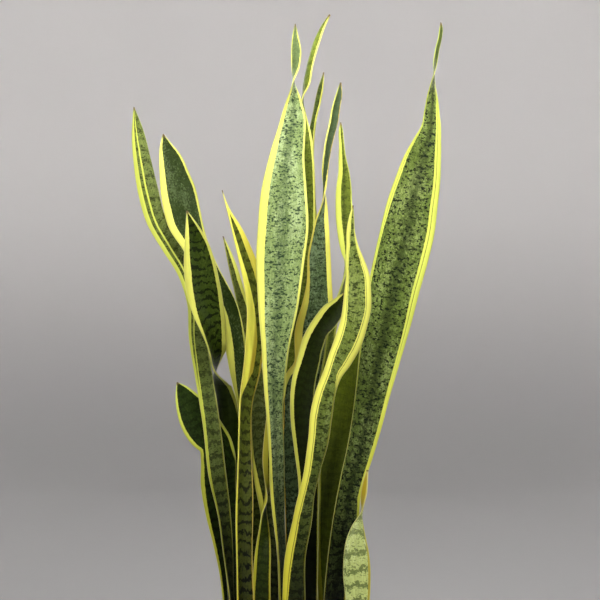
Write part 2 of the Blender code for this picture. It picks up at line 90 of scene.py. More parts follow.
# One blade: its channel, the record's tone, its finish, its stations from base to tip, and its margins.
# A station is height, place to the side, width, turn in degrees, and depth behind the pot's axis. A margin
# row is a height, the widths there of the first and the second margin, and how shaded each is, from 0 to 1:
# how far its yellow turns to the duller colour, partly the margin's own and partly painted shade.
# All lengths are in millimetres.
Leaf = namedtuple("Leaf", "cup tone finish stations margins")
LEAVES = {
    "leaf_left_outer": Leaf(0.12, "mid", "outer_mottled", stations=(
        (166, -75, 21, 60, -12), (216, -78, 22, 62, -12), (294, -83, 22, 70, -12), (365, -86, 22, 74, -12),
        (422, -90, 23, 62, -11), (469, -95, 23, 52, -8), (530, -104, 24, 12, -4), (586, -110, 23, 0, 0),
        (656, -121, 23, 0, 8), (706, -129, 23, 0, 12), (755, -131, 25, 0, 16), (794, -143, 27, 0, 20),
        (826, -163, 27, 0, 24), (859, -183, 26, 0, 28), (895, -193, 27, 0, 32), (936, -201, 23, 0, 36),
        (975, -207, 15, 0, 40), (1006, -212, 1, 0, 42),
    ), margins=(
        (166, 1.6, 1.3, 0.8, 0.95), (365, 1.8, 1.3, 0.45, 0.85), (417, 2.1, 1.4, 0.35, 0.85),
        (469, 2.6, 1.6, 0.3, 0.8), (521, 3.4, 1.6, 0.25, 0.8), (586, 3.6, 1.4, 0.2, 0.75),
        (656, 5.2, 1.0, 0.15, 0.6), (706, 7.5, 0.9, 0.1, 0.5), (755, 9.1, 0.8, 0.1, 0.5),
        (826, 11.7, 0.7, 0, 0.5), (878, 13.3, 0.5, 0, 0.5), (918, 12.2, 0.4, 0, 0.5),
        (950, 9.6, 0.4, 0, 0.5), (975, 6.5, 0.4, 0, 0.5), (1006, 0.8, 0.3, 0, 0.4),
    )),
    "leaf_left_broad": Leaf(0.12, "mid", "grey_mottled", stations=(
        (166, -52, 22, 0, 10), (216, -52, 22, 5, 10), (294, -58, 22, 25, 12), (365, -66, 23, 42, 14),
        (495, -68, 25, 50, 16), (573, -69, 26, 52, 17), (612, -70, 26, 50, 17), (651, -75, 26, 35, 15),
        (690, -79, 27, 10, 10), (742, -89, 27, 0, 4), (798, -118, 29, 0, 0), (829, -133, 35, 0, 0),
        (859, -146, 46, 0, 2), (876, -150, 47, 0, 3), (895, -154, 46, 0, 5), (916, -159, 39, 0, 7),
        (936, -164, 31, 0, 9), (954, -170, 18, 0, 11), (971, -174, 1, 0, 12),
    ), margins=(
        (166, 2.0, 1.3, 0.95, 0.95), (521, 2.6, 1.6, 0.8, 0.85), (612, 5.2, 1.8, 0.6, 0.8),
        (664, 8.5, 2.1, 0.4, 0.7), (696, 10.4, 2.3, 0.3, 0.6), (742, 9.8, 0.9, 0.25, 0.1),
        (804, 9.1, 1.0, 0.1, 0.1), (829, 9.1, 2.1, 0.1, 0.4), (876, 9.4, 2.9, 0, 0.5),
        (916, 7.3, 3.1, 0, 0.5), (936, 6.0, 2.3, 0, 0.4), (954, 3.6, 1.6, 0, 0.1), (971, 0.8, 0.5, 0, 0),
    )),
    "leaf_left_dark": Leaf(0.24, "dark", "near_black_shaded", stations=(
        (166, -66, 22, 180, 28), (216, -67, 22, 180, 28), (365, -75, 23, 180, 29), (495, -82, 29, 180, 27),
        (547, -85, 29, 178, 27), (586, -88, 29, 172, 26), (612, -91, 29, 160, 24), (632, -96, 32, 143, 21),
        (647, -101, 36, 133, 16), (658, -102, 39, 110, 9), (667, -104, 39, 90, 2), (677, -106, 38, 72, -6),
        (690, -107, 36, 58, -12), (710, -110, 39, 43, -18), (746, -117, 43, 12, -24),
        (774, -122, 45, 0, -28), (806, -127, 40, 0, -30), (825, -130, 33, 0, -31), (845, -135, 21, 0, -32),
        (871, -143, 1, 0, -33),
    ), margins=(
        (166, 1.6, 1.3, 0.95, 0.95), (599, 2.1, 1.8, 0.85, 0.8), (625, 3.4, 3.1, 0.7, 0.5),
        (663, 4.7, 4.2, 0.4, 0.4), (690, 5.2, 4.4, 0.4, 0.45), (716, 5.5, 4.7, 0.35, 0.5),
        (742, 6.5, 4.7, 0.3, 0.5), (764, 7.8, 4.4, 0.3, 0.5), (791, 8.6, 3.9, 0.3, 0.45),
        (820, 6.5, 3.4, 0.25, 0.4), (845, 4.5, 2.9, 0.15, 0.35), (871, 0.8, 0.5, 0.1, 0.1),
    )),
    "leaf_crescent": Leaf(0.20, "mid", "banded", stations=(
        (166, -60, 23, 10, -50), (216, -60, 23, 10, -50), (365, -69, 26, 35, -48), (469, -70, 27, 38, -46),
        (573, -70, 30, 55, -45), (628, -68, 32, 62, -44), (664, -62, 35, 55, -40), (703, -57, 36, 45, -36),
        (742, -55, 36, 45, -32), (781, -60, 32, 45, -32), (820, -71, 25, 45, -36), (850, -81, 16, 42, -42),
        (871, -89, 7, 40, -46), (898, -97, 1, 40, -50),
    ), margins=(
        (166, 2.0, 0.9, 0.6, 0.95), (365, 2.5, 0.9, 0.25, 0.95), (443, 2.5, 0.9, 0.2, 0.95),
        (521, 3.6, 1.0, 0.1, 0.9), (573, 4.4, 1.0, 0.05, 0.9), (599, 5.7, 1.2, 0, 0.9),
        (628, 6.8, 1.2, 0, 0.9), (643, 16.9, 1.3, 0, 0.9), (664, 26.0, 1.8, 0, 0.9),
        (703, 25.7, 3.1, 0, 0.8), (742, 19.5, 5.2, 0.1, 0.6), (781, 12.2, 7.0, 0.2, 0.6),
        (820, 6.8, 6.5, 0.2, 0.6), (850, 3.9, 4.2, 0.2, 0.5), (871, 4.2, 3.4, 0.15, 0.3),
        (898, 0.8, 0.5, 0.1, 0.2),
    )),
    "leaf_slim_dark": Leaf(0.12, "dark", "grey_dark", stations=(
        (166, -40, 22, 0, 28), (216, -40, 22, 0, 28), (365, -36, 27, 0, 32), (481, -36, 24, 0, 34),
        (521, -42, 27, 0, 34), (547, -44, 29, 0, 34), (582, -46, 29, 0, 34), (617, -50, 27, 0, 34),
        (690, -60, 21, 0, 30), (751, -71, 15, 0, 28), (771, -76, 13, 0, 28), (790, -81, 12, 0, 28),
        (814, -88, 8, 0, 28), (838, -96, 1, 0, 28),
    ), margins=(
        (166, 1.6, 1.0, 0.95, 0.95), (365, 2.6, 1.3, 0.9, 0.85), (443, 4.4, 1.2, 0.85, 0.8),
        (476, 5.2, 1.2, 0.6, 0.8), (492, 6.5, 1.2, 0.15, 0.8), (508, 6.5, 1.2, 0.05, 0.8),
        (534, 4.7, 1.2, 0.1, 0.8), (547, 3.1, 1.2, 0.3, 0.8), (573, 2.1, 1.2, 0.6, 0.8),
        (690, 1.3, 1.3, 0.8, 0.7), (751, 1.3, 3.4, 0.7, 0.2), (781, 1.2, 5.2, 0.6, 0),
        (814, 1.0, 3.6, 0.5, 0), (838, 0.5, 0.5, 0.3, 0.1),
    )),
    "leaf_left_low": Leaf(0.10, "dark", "banded_dark", stations=(
        (166, -77, 22, 20, 14), (216, -77, 22, 18, 14), (300, -81, 23, 0, 16), (365, -84, 25, 0, 18),
        (401, -87, 28, 0, 18), (442, -92, 35, 0, 17), (481, -98, 42, 0, 16), (516, -102, 46, 0, 15),
        (547, -102, 46, 0, 15), (568, -106, 44, 0, 15), (586, -120, 49, 0, 14), (606, -132, 46, 0, 13),
        (625, -143, 32, 0, 12), (638, -150, 18, 0, 12), (648, -156, 1, 0, 12),
    ), margins=(
        (166, 1.6, 0.9, 0.7, 0.95), (365, 1.8, 0.9, 0.3, 0.9), (417, 2.7, 0.9, 0.2, 0.9),
        (462, 3.4, 0.9, 0.1, 0.9), (495, 4.5, 1.0, 0.05, 0.9), (516, 5.2, 1.2, 0.05, 0.9),
        (544, 3.9, 1.3, 0.25, 0.9), (557, 3.9, 3.4, 0.25, 0.3), (586, 4.2, 3.6, 0.15, 0.3),
        (632, 2.9, 3.1, 0.1, 0.1), (648, 0.8, 0.8, 0, 0),
    )),
    "leaf_tall_centre": Leaf(0.08, "sage", "sage_flecked", stations=(
        (166, -17, 22, 20, -20), (216, -17, 22, 25, -20), (365, -18, 22, 55, -22), (431, -21, 23, 55, -25),
        (505, -26, 26, 50, -29), (565, -28, 29, 45, -34), (625, -30, 31, 40, -39), (685, -29, 36, 20, -44),
        (755, -24, 54, 0, -48), (815, -21, 64, 0, -47), (846, -18, 66, 0, -45), (888, -17, 61, 0, -40),
        (940, -13, 46, 0, -30), (989, -5, 33, 0, -20), (1018, -4, 21, 35, -14), (1042, -4, 16, 90, -9),
        (1059, -2, 14, 135, -6), (1080, -1, 14, 155, -4), (1097, -2, 9, 160, -2), (1114, -2, 1, 170, 0),
    ), margins=(
        (166, 2.6, 1.0, 0.6, 0.95), (365, 3.9, 1.3, 0.2, 0.9), (417, 4.4, 1.3, 0.15, 0.9),
        (469, 4.9, 1.3, 0.15, 0.9), (573, 5.2, 1.4, 0.1, 0.85), (625, 5.5, 1.6, 0.1, 0.75),
        (656, 5.7, 1.8, 0.05, 0.6), (716, 6.5, 2.3, 0.05, 0.35), (762, 9.1, 2.9, 0, 0.15),
        (815, 10.4, 3.1, 0, 0.05), (885, 10.4, 2.9, 0, 0), (944, 7.8, 2.3, 0, 0), (970, 5.2, 2.1, 0, 0),
        (989, 4.4, 2.3, 0, 0), (1018, 3.1, 3.1, 0.15, 0.1), (1038, 2.6, 2.9, 0.15, 0.1),
        (1059, 1.4, 2.3, 0.15, 0.1), (1080, 1.3, 1.7, 0, 0.1), (1097, 1.4, 1.6, 0, 0.1),
        (1114, 0.5, 0.5, 0, 0),
    )),
    "leaf_back_hooked": Leaf(0.10, "dark", "back_green", stations=(
        (166, -30, 23, -18, 46), (216, -31, 23, -16, 46), (365, -42, 30, 0, 47), (495, -42, 34, 0, 48),
        (573, -38, 34, 0, 48), (625, -27, 32, 0, 46), (755, 0, 34, 0, 40), (859, 7, 34, 0, 34),
        (925, 6, 34, 0, 31), (976, 3, 31, 20, 30), (999, 6, 21, 55, 31), (1018, 8, 16, 90, 33),
        (1034, 12, 16, 127, 36), (1057, 16, 13, 140, 41), (1077, 21, 12, 145, 47), (1093, 26, 10, 150, 52),
        (1109, 33, 6, 150, 57), (1126, 43, 1, 150, 62),
    ), margins=(
        (166, 1.0, 1.0, 0.95, 0.95), (625, 1.0, 1.0, 0.9, 0.9), (755, 1.8, 1.8, 0.7, 0.5),
        (859, 2.6, 2.6, 0.5, 0.2), (976, 3.1, 2.6, 0.3, 0.1), (1011, 3.4, 2.1, 0.1, 0.1),
        (1034, 2.3, 0.8, 0.1, 0.4), (1057, 2.0, 0.4, 0.1, 0.8), (1077, 2.0, 0.4, 0.1, 0.8),
        (1109, 1.6, 0.3, 0.1, 0.8), (1126, 0.5, 0.4, 0, 0),
    )),
    "leaf_back_slim": Leaf(0.12, "mid", "back_dark", stations=(
        (166, 8, 21, 20, 40), (216, 8, 21, 18, 40), (365, 8, 23, 0, 42), (560, 12, 29, 0, 50),
        (690, 16, 29, 0, 56), (820, 16, 26, 0, 60), (911, 14, 18, 0, 62), (964, 18, 10, 0, 63),
        (993, 23, 7, 0, 64), (1011, 27, 8, 0, 65), (1031, 31, 7, 0, 66), (1051, 35, 1, 0, 68),
    ), margins=(
        (166, 1.3, 1.3, 0.95, 0.95), (885, 1.3, 1.6, 0.8, 0.6), (964, 0.7, 2.3, 0.8, 0.4),
        (1028, 0.4, 2.1, 0.7, 0.45), (1051, 0.4, 0.5, 0.6, 0.2),
    )),
    "leaf_back_right": Leaf(0.12, "mid", "teal_mottled", stations=(
        (166, -3, 23, -10, 14), (216, -3, 23, -8, 14), (365, -1, 26, 0, 14), (495, 1, 34, 0, 14),
        (560, 1, 39, 0, 15), (625, 8, 51, 0, 16), (644, 9, 55, 0, 17), (665, 17, 46, 0, 17),
        (716, 21, 47, 0, 18), (750, 27, 40, 0, 16), (778, 29, 33, 0, 14), (812, 29, 30, 0, 12),
        (840, 31, 23, 0, 11), (858, 32, 18, 20, 12), (881, 35, 13, 60, 13), (898, 36, 12, 90, 15),
        (921, 36, 12, 122, 18), (940, 38, 13, 130, 21), (964, 42, 15, 140, 25), (986, 47, 16, 145, 29),
        (1005, 50, 14, 148, 32), (1022, 54, 10, 150, 35), (1038, 57, 1, 150, 38),
    ), margins=(
        (166, 1.0, 1.0, 0.95, 0.95), (599, 1.0, 1.3, 0.9, 0.9), (625, 1.2, 1.8, 0.5, 0.9),
        (634, 3.4, 2.6, 0, 0.8), (644, 6.0, 3.1, 0, 0.8), (665, 8.6, 3.9, 0.2, 0.7),
        (690, 10.7, 4.9, 0.3, 0.6), (716, 9.9, 5.7, 0.35, 0.5), (750, 7.8, 6.0, 0.35, 0.3),
        (778, 3.9, 6.0, 0.5, 0.2), (812, 2.1, 6.0, 0.4, 0.15), (858, 1.8, 5.2, 0.4, 0.1),
        (898, 2.1, 4.9, 0.2, 0.2), (921, 0.5, 5.5, 0.5, 0.15), (940, 0.4, 5.5, 0.6, 0.1),
        (963, 0.4, 5.5, 0.6, 0.1), (986, 0.4, 5.5, 0.6, 0.05), (1005, 0.4, 4.4, 0.6, 0.05),
        (1022, 0.4, 3.1, 0.6, 0.1), (1038, 0.4, 0.8, 0.5, 0),
    )),
    "leaf_right_inner": Leaf(0.12, "mid", "striped", stations=(
        (166, 17, 22, -12, -4), (216, 18, 22, -12, -4), (365, 16, 23, 0, -4), (495, 15, 21, 0, -4),
        (560, 24, 22, 0, -3), (625, 34, 22, 0, -2), (672, 41, 17, 10, -2), (717, 45, 16, 38, 0),
        (748, 53, 20, 55, 3), (771, 60, 22, 70, 5), (794, 64, 22, 90, 7), (819, 66, 23, 30, 9),
        (840, 64, 23, 5, 10), (862, 62, 23, 0, 12), (878, 61, 22, 0, 14), (901, 61, 20, 0, 17),
        (920, 61, 15, 0, 19), (940, 59, 10, 0, 21), (959, 58, 7, 0, 24), (975, 57, 6, 0, 26),
        (986, 57, 1, 0, 28),
    ), margins=(
        (166, 1.6, 1.3, 0.95, 0.95), (599, 2.3, 2.1, 0.8, 0.8), (672, 2.6, 2.6, 0.7, 0.7),
        (717, 2.9, 3.4, 0.6, 0.6), (771, 5.2, 2.6, 0.3, 0.4), (802, 6.5, 1.8, 0.1, 0.3),
        (840, 7.7, 1.3, 0, 0.2), (885, 7.0, 1.2, 0, 0.1), (916, 5.7, 0.9, 0, 0.2),
        (937, 5.2, 0.8, 0.05, 0.2), (955, 3.6, 0.7, 0.1, 0.2), (975, 2.9, 0.8, 0.2, 0.2),
        (986, 0.8, 0.5, 0.2, 0.2),
    )),
    "leaf_front_curved": Leaf(-0.08, "mid", "bright_mottled", stations=(
        (166, 0, 26, 0, -50), (216, 0, 26, 0, -50), (365, -4, 30, 0, -50), (422, -2, 27, 0, -51),
        (468, 7, 25, 0, -53), (498, 12, 23, 20, -54), (528, 19, 23, 20, -55), (573, 28, 27, 0, -57),
        (607, 32, 29, 0, -58), (637, 38, 26, 0, -59), (658, 46, 25, 0, -60), (678, 56, 32, 0, -61),
        (699, 66, 36, 0, -63), (724, 74, 36, 0, -66), (745, 78, 37, 0, -69), (765, 79, 35, 0, -72),
        (786, 79, 31, 0, -74), (807, 75, 24, 0, -77), (825, 72, 16, 0, -80), (845, 70, 11, 0, -82),
        (862, 71, 7, 0, -84), (878, 73, 1, 0, -86),
    ), margins=(
        (166, 5.2, 1.3, 0.7, 0.95), (365, 7.3, 1.6, 0.2, 0.9), (391, 8.8, 1.7, 0.15, 0.9),
        (417, 10.4, 1.8, 0.1, 0.9), (443, 10.1, 1.8, 0.1, 0.9), (468, 8.3, 1.8, 0.05, 0.9),
        (560, 8.6, 2.1, 0, 0.85), (625, 9.4, 2.2, 0, 0.8), (641, 9.4, 2.3, 0, 0.75),
        (651, 9.1, 4.4, 0, 0.4), (663, 8.6, 8.3, 0, 0.25), (687, 8.6, 10.1, 0, 0.2),
        (703, 9.1, 9.9, 0, 0.1), (724, 7.8, 8.6, 0, 0), (742, 6.5, 8.1, 0, 0), (765, 5.2, 7.8, 0, 0),
        (798, 3.9, 6.5, 0, 0), (825, 4.7, 3.1, 0, 0), (845, 5.2, 1.3, 0, 0), (862, 3.2, 0.8, 0, 0),
        (878, 0.7, 0.5, 0, 0),
    )),
    "leaf_arched": Leaf(0.14, "dark", "deep_olive_shaded", stations=(
        (166, 9, 22, 0, -25), (216, 10, 22, 0, -25), (365, 14, 25, 0, -25), (469, 15, 26, 0, -24),
        (521, 15, 27, 0, -24), (561, 11, 29, 0, -23), (606, 7, 31, 0, -22), (633, 7, 31, 0, -22),
        (656, 10, 31, 0, -22), (676, 15, 30, 0, -22), (690, 18, 29, 0, -22), (703, 22, 29, 0, -23),
        (716, 28, 27, 0, -24), (729, 38, 29, 0, -25), (741, 47, 27, 0, -26), (752, 54, 16, 0, -27),
        (765, 62, 1, 0, -28),
    ), margins=(
        (166, 1.6, 1.3, 0.9, 0.95), (365, 2.1, 1.3, 0.7, 0.9), (469, 2.9, 1.6, 0.45, 0.85),
        (521, 3.4, 1.6, 0.4, 0.85), (586, 4.2, 1.6, 0.35, 0.85), (633, 4.7, 1.3, 0.3, 0.8),
        (676, 6.5, 1.3, 0.2, 0.8), (703, 7.8, 1.3, 0.2, 0.8), (729, 7.3, 1.0, 0.2, 0.8),
        (752, 5.2, 0.8, 0.15, 0.7), (765, 0.7, 0.5, 0.1, 0.5),
    )),
    "leaf_shaded": Leaf(0.10, "mid", "plain_olive", stations=(
        (166, 36, 22, -15, 12), (216, 38, 22, -14, 12), (365, 41, 27, 0, 12), (430, 40, 31, 0, 11),
        (495, 42, 34, 0, 10), (528, 44, 36, 0, 9), (573, 51, 38, 0, 9), (625, 60, 35, 0, 8),
        (651, 66, 30, 0, 8), (670, 72, 20, 0, 8), (690, 77, 10, 0, 8), (710, 79, 1, 0, 8),
    ), margins=(
        (166, 3.9, 1.3, 0.9, 0.95), (365, 5.7, 1.6, 0.6, 0.9), (495, 5.7, 1.6, 0.6, 0.9),
        (534, 4.7, 1.6, 0.65, 0.9), (573, 2.9, 1.6, 0.8, 0.9), (651, 2.1, 1.6, 0.85, 0.85),
        (710, 0.5, 0.5, 0.8, 0.8),
    )),
    "leaf_tall_right": Leaf(0.10, "mid", "striped_mottled", stations=(
        (166, 44, 25, 12, -14), (216, 46, 25, 10, -14), (365, 49, 29, 0, -14), (418, 56, 33, 0, -14),
        (459, 62, 34, 0, -14), (481, 65, 33, 0, -14), (498, 67, 31, 0, -14), (528, 74, 33, 0, -14),
        (557, 82, 36, 0, -13), (591, 90, 40, 0, -12), (637, 99, 46, 0, -11), (678, 107, 54, 0, -10),
        (737, 119, 64, 0, -8), (771, 126, 67, 0, -6), (816, 137, 70, 0, -3), (846, 144, 70, 0, 0),
        (878, 150, 66, 0, 4), (904, 156, 60, 0, 7), (932, 162, 51, 0, 11), (958, 169, 38, 0, 14),
        (977, 174, 27, 0, 17), (1001, 175, 21, 12, 20), (1023, 176, 19, 40, 23), (1036, 177, 16, 60, 25),
        (1049, 179, 14, 88, 27), (1064, 180, 12, 119, 30), (1080, 182, 11, 128, 32),
        (1098, 186, 9, 130, 34), (1109, 187, 7, 130, 35), (1116, 187, 1, 130, 36),
    ), margins=(
        (166, 1.0, 1.8, 0.9, 0.9), (469, 1.0, 2.6, 0.65, 0.6), (534, 1.0, 4.2, 0.65, 0.15),
        (591, 1.0, 4.7, 0.65, 0.1), (638, 1.2, 5.2, 0.6, 0.05), (678, 1.7, 6.0, 0.4, 0),
        (716, 2.3, 7.3, 0.2, 0), (755, 2.9, 9.1, 0.05, 0.05), (816, 3.4, 9.9, 0, 0.05),
        (846, 4.2, 9.9, 0, 0.05), (878, 5.7, 9.6, 0, 0.05), (918, 5.5, 8.6, 0, 0.1),
        (950, 3.6, 7.8, 0, 0.1), (971, 2.3, 6.8, 0, 0.15), (988, 1.4, 5.5, 0.05, 0.15),
        (1005, 1.4, 3.9, 0.05, 0.05), (1023, 1.4, 3.4, 0.05, 0.1), (1046, 1.3, 4.2, 0.2, 0.1),
        (1064, 0.7, 4.9, 0.4, 0.05), (1077, 0.4, 4.9, 0.5, 0), (1093, 0.4, 4.4, 0.5, 0),
        (1109, 0.4, 3.6, 0.4, 0), (1116, 0.4, 1.3, 0, 0),
    )),
    "leaf_low_right": Leaf(-0.10, "pale", "pale_flecked", stations=(
        (166, 62, 23, -22, -28), (216, 66, 23, -20, -28), (300, 73, 27, 0, -32), (365, 79, 32, 0, -35),
        (399, 78, 36, 0, -36), (422, 78, 34, 10, -36), (442, 78, 29, 25, -36), (462, 80, 20, 45, -35),
        (481, 84, 13, 90, -34), (502, 87, 13, 118, -32), (517, 89, 9, 125, -31), (534, 92, 1, 125, -30),
    ), margins=(
        (166, 0.8, 2.6, 1, 0.8), (365, 0.5, 3.4, 1, 0.5), (404, 0.5, 3.4, 1, 0.5), (442, 0.5, 2.9, 1, 0.6),
        (477, 0.8, 3.1, 0.8, 0.5), (488, 5.2, 6.5, 0.1, 0.1), (502, 6.5, 6.5, 0, 0), (517, 5.2, 5.2, 0, 0),
        (534, 3.9, 3.9, 0, 0),
    )),
    "leaf_inner_left": Leaf(0.12, "mid", "deep_green", stations=(
        (166, -49, 22, 0, -30), (216, -48, 22, 0, -31), (365, -47, 25, 8, -31), (401, -46, 23, 15, -31),
        (431, -45, 23, 32, -30), (456, -44, 22, 50, -28), (478, -43, 20, 68, -25), (495, -40, 17, 90, -22),
        (518, -38, 17, 60, -19), (547, -37, 18, 30, -16), (576, -36, 15, 20, -12), (612, -34, 10, 10, -8),
        (651, -32, 5, 5, -4), (674, -31, 1, 5, -2),
    ), margins=(
        (166, 2.6, 1.6, 0.8, 0.8), (365, 3.9, 1.8, 0.4, 0.5), (456, 3.9, 1.8, 0.3, 0.5),
        (479, 4.4, 2.1, 0.3, 0.5), (495, 6.5, 3.9, 0.4, 0.5), (518, 8.3, 7.8, 0.5, 0.5),
        (576, 7.8, 7.3, 0.45, 0.45), (612, 5.2, 5.2, 0.4, 0.4), (674, 0.5, 0.5, 0.4, 0.4),
    )),
}

LEMON = (228, 228, 108)
LIME = (200, 208, 88)
GOLD = (206, 170, 30)
CREAM = (206, 214, 140)
OLIVE = (112, 116, 40)
MOSS = (84, 92, 26)
KHAKI = (176, 158, 52)
NO_LINE = (2.0, 2.1, 0.0)

# How a blade is coloured: its three greens, its margins' yellow and shaded yellow (the duller colour is partly
# the margins' own, partly painted shade), the pitch and the wander of its cross bands in metres, how strong and
# how loose the bands are, how strong and how fine its flecks are, its pale patches, its middle stripe, its dark
# foot (partly the base's own darker colour, partly painted shade), its plain reverse, and the green line inside
# each margin: the two shares of the margin that it runs between, and the share of the blade where it starts.
# Last, how much of the bands' strength is left high on the blade.
Finish = namedtuple(
    "Finish",
    "ground dark pale margin shade pitch wander bands loose flecks fine patches stripe foot reverse line"
    " even",
    defaults=(LEMON, OLIVE, 0.014, 0.016, 0.8, 0.3, 0.6, 1.0, 0.5, 0.1, 0.88, 0.8, NO_LINE, 0.35),
)
FINISHES = {
    "outer_mottled": Finish(
        (96, 110, 48), (20, 28, 8), (132, 146, 80), LIME, pitch=0.0155, bands=0.95, flecks=0.75, fine=1.4,
        foot=0.90, line=(0.42, 0.84, 0.50),
    ),
    "grey_mottled": Finish(
        (46, 60, 22), (24, 34, 10), (104, 120, 78), bands=0.35, loose=0.8, flecks=0.5, fine=1.1,
        stripe=0.2,
    ),
    # Its near-black greens are partly the blade's own dark colour and partly painted shade, for its face turned
    # away from the light.
    "near_black_shaded": Finish(
        (46, 60, 13), (7, 12, 1), (70, 86, 26), pitch=0.0115, bands=1.0, loose=0.45, flecks=0.4, even=0.9,
    ),
    # Its margin is a brighter yellow than the others' as painted light, lifting it where the blade turns away
    # from the key light.
    "banded": Finish(
        (92, 102, 34), (10, 15, 2), (124, 134, 56), (255, 252, 104), KHAKI, pitch=0.0145, bands=1.0,
        loose=0.4, flecks=0.3, foot=0.80, even=0.6,
    ),
    "banded_dark": Finish(
        (38, 54, 14), (10, 18, 2), (60, 78, 30), LIME, MOSS, pitch=0.012, bands=0.9, foot=0.8,
    ),
    "grey_dark": Finish((92, 102, 46), (26, 34, 10), (128, 140, 80), shade=MOSS, pitch=0.012, bands=0.85),
    "sage_flecked": Finish(
        (128, 148, 88), (34, 54, 32), (176, 194, 140), wander=0.026, bands=0.7, loose=0.9, flecks=0.95,
        fine=1.3, patches=0.6, stripe=0.5, foot=0.94,
    ),
    "back_green": Finish(
        (104, 118, 38), (34, 46, 9), (146, 160, 68), pitch=0.011, loose=0.6, fine=1.4, reverse=0.1,
    ),
    "back_dark": Finish((70, 84, 30), (26, 34, 8), (100, 116, 52), loose=0.5),
    "teal_mottled": Finish(
        (80, 98, 60), (20, 33, 16), (138, 158, 120), shade=GOLD, bands=0.9, loose=0.7, flecks=0.8,
        fine=1.2, foot=0.8,
    ),
    "striped": Finish(
        (94, 107, 32), (30, 40, 8), (128, 141, 58), LIME, bands=0.6, loose=0.8, fine=1.3, stripe=0.5,
    ),
    "bright_mottled": Finish(
        (112, 128, 54), (26, 38, 12), (154, 169, 98), wander=0.022, loose=0.7, flecks=0.85, fine=1.25,
        foot=0.93, line=(0.74, 0.87, -0.5),
    ),
    # Painted shade: greens darker than a real leaf's, for a blade deep in the other blades' shadow.
    "deep_olive_shaded": Finish(
        (28, 37, 4), (6, 10, 1), (42, 52, 9), pitch=0.012, loose=0.6, flecks=0.4, patches=0.2,
    ),
    "plain_olive": Finish(
        (83, 96, 18), (33, 40, 4), (102, 113, 32), LIME, MOSS, bands=0.3, flecks=0.3, patches=0.2,
        foot=0.62,
    ),
    "striped_mottled": Finish(
        (92, 109, 45), (18, 28, 11), (146, 162, 94), LIME, wander=0.028, bands=0.95, loose=0.95,
        flecks=1.0, fine=1.1, patches=0.65, stripe=0.65, foot=0.95, line=(0.56, 0.70, 0.48),
    ),
    # Its khaki margin is partly painted shade: the yellow margin at the blade's top, turned away into shadow.
    "pale_flecked": Finish(
        (176, 188, 114), (66, 80, 34), (216, 224, 170), KHAKI, CREAM, pitch=0.022, bands=0.8, loose=0.7,
        fine=1.4, foot=0.0, reverse=0.3,
    ),
    "deep_green": Finish(
        (68, 86, 22), (22, 34, 5), (92, 108, 38), LIME, KHAKI, pitch=0.012, bands=0.6, foot=0.75,
    ),
}


def colour(red, green, blue):
    """A colour as Blender's shaders read it, from how it looks on a screen."""
    values = [value / 255 for value in (red, green, blue)]
    return tuple(v / 12.92 if v <= 0.04045 else ((v + 0.055) / 1.055) ** 2.4 for v in values) + (1.0,)


# Settings


class PlantSettings(bpy.types.PropertyGroup):
    """Sizes and colours of the plant's looks."""

    row_step: FloatProperty(
        name="Row step", description="Distance between a blade's rows of points", default=0.004, min=0.002,
        unit="LENGTH",
    )
    around: IntProperty(
        name="Points around", description="Points round a blade's section", default=28, min=12
    )
    soil_cells: IntProperty(
        name="Soil cells", description="Cells across the soil's surface", default=170, min=20
    )
    soil_relief: FloatProperty(
        name="Soil relief", description="Height of the soil's lumps", default=0.0035, min=0.0, unit="LENGTH"
    )
    bits: IntProperty(name="Bits", description="Loose bits on the soil, of each kind", default=240, min=0)
    clay_colour: FloatVectorProperty(
        name="Clay", description="Colour of the pot's clay", subtype="COLOR", size=3, min=0.0, max=1.0,
        default=colour(186, 104, 70)[:3],
    )
    soil_colour: FloatVectorProperty(
        name="Soil", description="Colour of the damp potting mix", subtype="COLOR", size=3, min=0.0, max=1.0,
        default=colour(64, 48, 36)[:3],
    )
    key_power: FloatProperty(
        name="Key light", description="Power of the key light", default=4.6, subtype="POWER"
    )
    fill_power: FloatProperty(
        name="Fill light", description="Power of the fill light", default=2.0, subtype="POWER"
    )
    wall_power: FloatProperty(
        name="Wall light", description="Power of each wall light", default=260.0, subtype="POWER"
    )


# Node helpers


def put(tree, kind, inputs=None, **settings):
    """Add a node, set it up, and feed its inputs with values or with other nodes' outputs."""
    item = tree.nodes.new(kind)
    for key, value in settings.items():
        setattr(item, key, value)
    for key, value in (inputs or {}).items():
        if isinstance(value, bpy.types.NodeSocket):
            tree.links.new(value, item.inputs[key])
        else:
            item.inputs[key].default_value = value
    return item


def sums(tree, operation, first, second=0.0):
    """The output of a Math node."""
    return put(tree, "ShaderNodeMath", {0: first, 1: second}, operation=operation).outputs[0]


def plus(tree, first, second):
    """One value and another, added."""
    return sums(tree, "ADD", first, second)


def times(tree, first, second):
    """One value times another."""
    return sums(tree, "MULTIPLY", first, second)


def flip(tree, value):
    """1 less the value."""
    return sums(tree, "SUBTRACT", 1.0, value)


def wobble(tree, value, size):
    """A noise made to swing either side of 0, at a size."""
    return times(tree, sums(tree, "SUBTRACT", value, 0.5), size)


def rise(tree, value, low, high):
    """0 below the low value, 1 above the high one, and smooth between them."""
    inputs = {"Value": value, "From Min": low, "From Max": high}
    return put(tree, "ShaderNodeMapRange", inputs, interpolation_type="SMOOTHSTEP").outputs[0]


def mix(tree, factor, first, second, blend="MIX"):
    """A mix of two colours."""
    item = put(tree, "ShaderNodeMix", {0: factor, 6: first, 7: second}, data_type="RGBA", blend_type=blend)
    return item.outputs[2]


